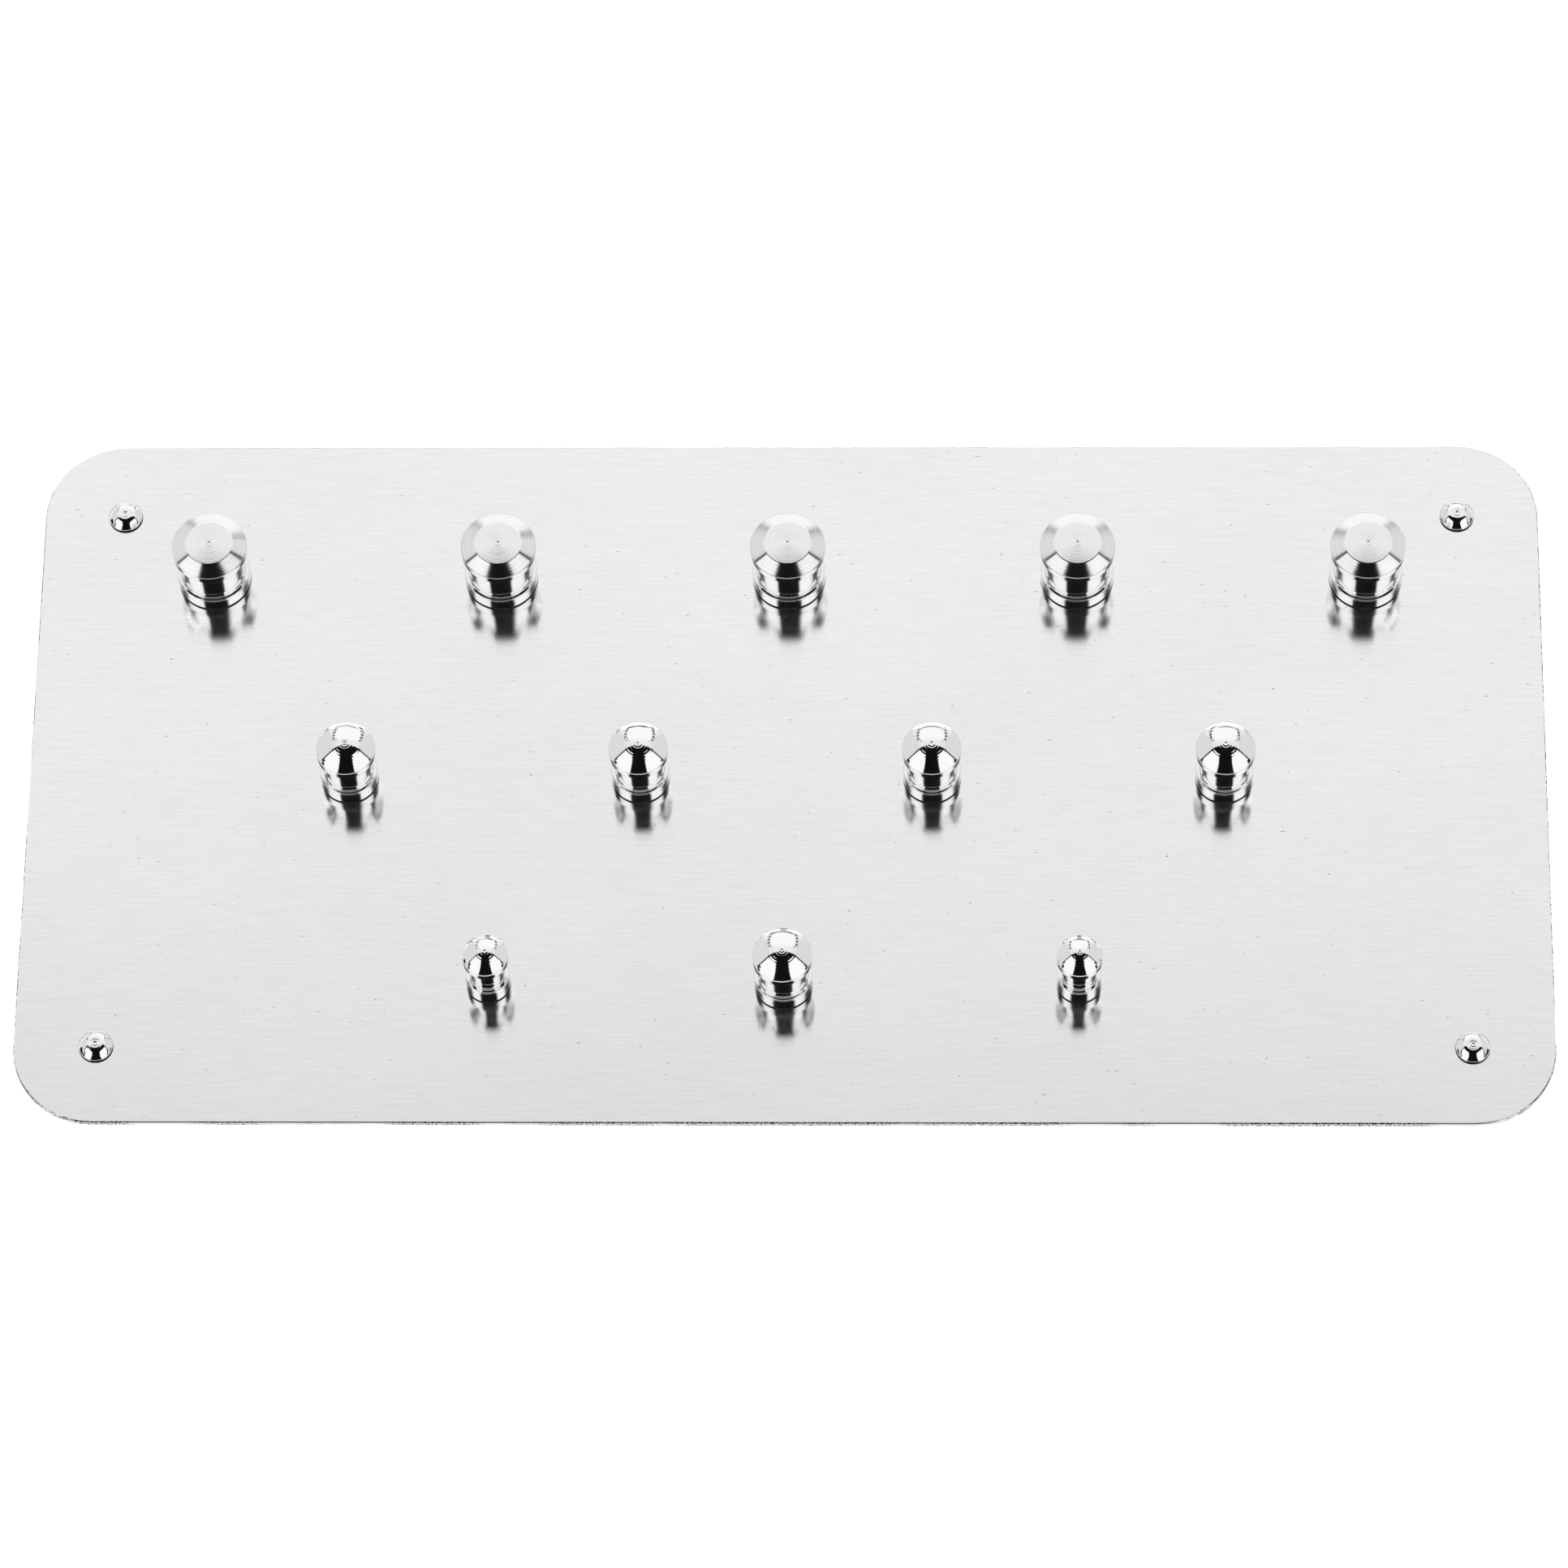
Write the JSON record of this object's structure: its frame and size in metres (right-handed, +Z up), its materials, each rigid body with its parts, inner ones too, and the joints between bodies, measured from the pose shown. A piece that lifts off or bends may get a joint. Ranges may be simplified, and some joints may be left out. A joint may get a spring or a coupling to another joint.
{
  "type": "rubber dam clamp holder",
  "caption": "Flat brushed aluminium plate on rubber feet, carrying rows of polished turned pegs with undercut waists that hold dental rubber dam clamps.",
  "frame": {"origin": "centre of the feet's base on the table", "axes": "+X along the plate's long side, +Y towards its back edge where the large pegs are, +Z up"},
  "size_m": [0.2, 0.1, 0.0149],
  "materials": {
    "brushed_aluminium": "fine brushed along the plate, satin",
    "polished_steel": "turned and mirror polished",
    "screw_steel": "plain machine screws",
    "foot_rubber": "matt moulded rubber"
  },
  "bodies": {
    "root": {"plate": "brushed_aluminium", "peg_large_1": "polished_steel", "peg_large_2": "polished_steel", "peg_large_3": "polished_steel", "peg_large_4": "polished_steel", "peg_large_5": "polished_steel", "peg_medium_1": "polished_steel", "peg_medium_2": "polished_steel", "peg_medium_3": "polished_steel", "peg_medium_4": "polished_steel", "peg_small_1": "polished_steel", "peg_medium_5": "polished_steel", "peg_small_2": "polished_steel", "peg_screws": "screw_steel", "corner_stud_1": "polished_steel", "foot_1": "foot_rubber", "corner_stud_2": "polished_steel", "foot_2": "foot_rubber", "corner_stud_3": "polished_steel", "foot_3": "foot_rubber", "corner_stud_4": "polished_steel", "foot_4": "foot_rubber"}
  },
  "joints": []
}
